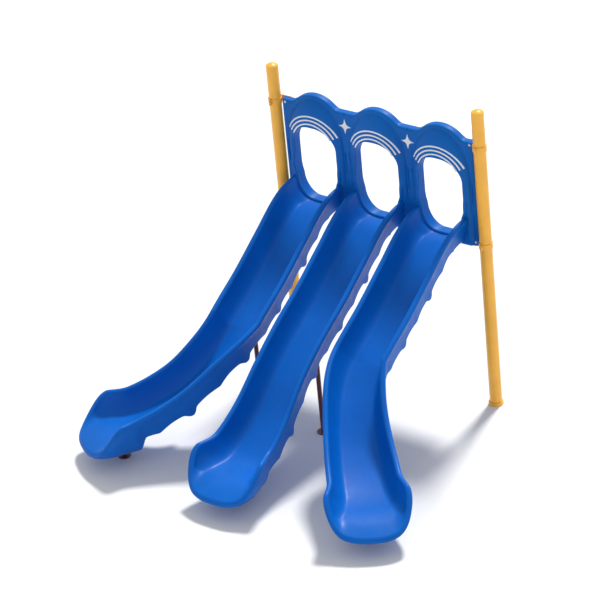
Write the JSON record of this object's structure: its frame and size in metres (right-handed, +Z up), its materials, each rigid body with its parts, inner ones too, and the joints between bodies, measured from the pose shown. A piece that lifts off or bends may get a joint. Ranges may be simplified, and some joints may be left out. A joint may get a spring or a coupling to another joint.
{
  "type": "triple wave slide",
  "caption": "Playground slide with parallel moulded chutes, wavy runs and flared exits, an arched entry hood with doorways, clamp-on posts and support legs.",
  "frame": {"origin": "on the ground, under the middle of the whole slide", "axes": "+X to the right as seen from the front, -Y the way the chutes run, +Z up"},
  "size_m": [4.0294, 3.296, 3.311],
  "materials": {
    "slide_plastic": "satin moulded plastic",
    "hood_plastic": "satin moulded plastic",
    "white_trim": "matt",
    "yellow_steel": "powder coat",
    "maroon_steel": "powder coat",
    "zinc_steel": "zinc plated"
  },
  "bodies": {
    "root": {"hood_panel": "hood_plastic", "arc_trim_left": "white_trim", "arc_trim_center": "white_trim", "arc_trim_right": "white_trim", "star_left": "white_trim", "star_right": "white_trim", "chute_left": "slide_plastic", "chute_center": "slide_plastic", "chute_right": "slide_plastic", "post_left": "yellow_steel", "post_right": "yellow_steel", "post_cap_left": "yellow_steel", "post_cap_right": "yellow_steel", "post_shoe_left": "yellow_steel", "post_shoe_right": "yellow_steel", "upper_clamp_inner_left": "yellow_steel", "upper_clamp_inner_right": "yellow_steel", "upper_clamp_outer_left": "yellow_steel", "upper_clamp_outer_right": "yellow_steel", "lower_clamp_inner_left": "yellow_steel", "lower_clamp_inner_right": "yellow_steel", "lower_clamp_outer_left": "yellow_steel", "lower_clamp_outer_right": "yellow_steel", "clamp_bolts": "zinc_steel", "clamp_nuts": "zinc_steel", "hood_bolts": "zinc_steel", "hood_nuts": "zinc_steel", "sill_bolts": "zinc_steel", "sill_nuts": "zinc_steel", "chute_bolts": "zinc_steel", "chute_washers": "zinc_steel", "saddle_bolts": "zinc_steel", "stand_bolts": "zinc_steel", "sill_angle": "maroon_steel", "leg_saddle_left": "maroon_steel", "leg_saddle_center": "maroon_steel", "leg_saddle_right": "maroon_steel", "support_leg_left": "maroon_steel", "support_leg_center": "maroon_steel", "support_leg_right": "maroon_steel", "leg_flange_left": "maroon_steel", "leg_flange_center": "maroon_steel", "leg_flange_right": "maroon_steel", "exit_stand_left": "maroon_steel", "exit_stand_center": "maroon_steel", "exit_stand_right": "maroon_steel"}
  },
  "joints": []
}
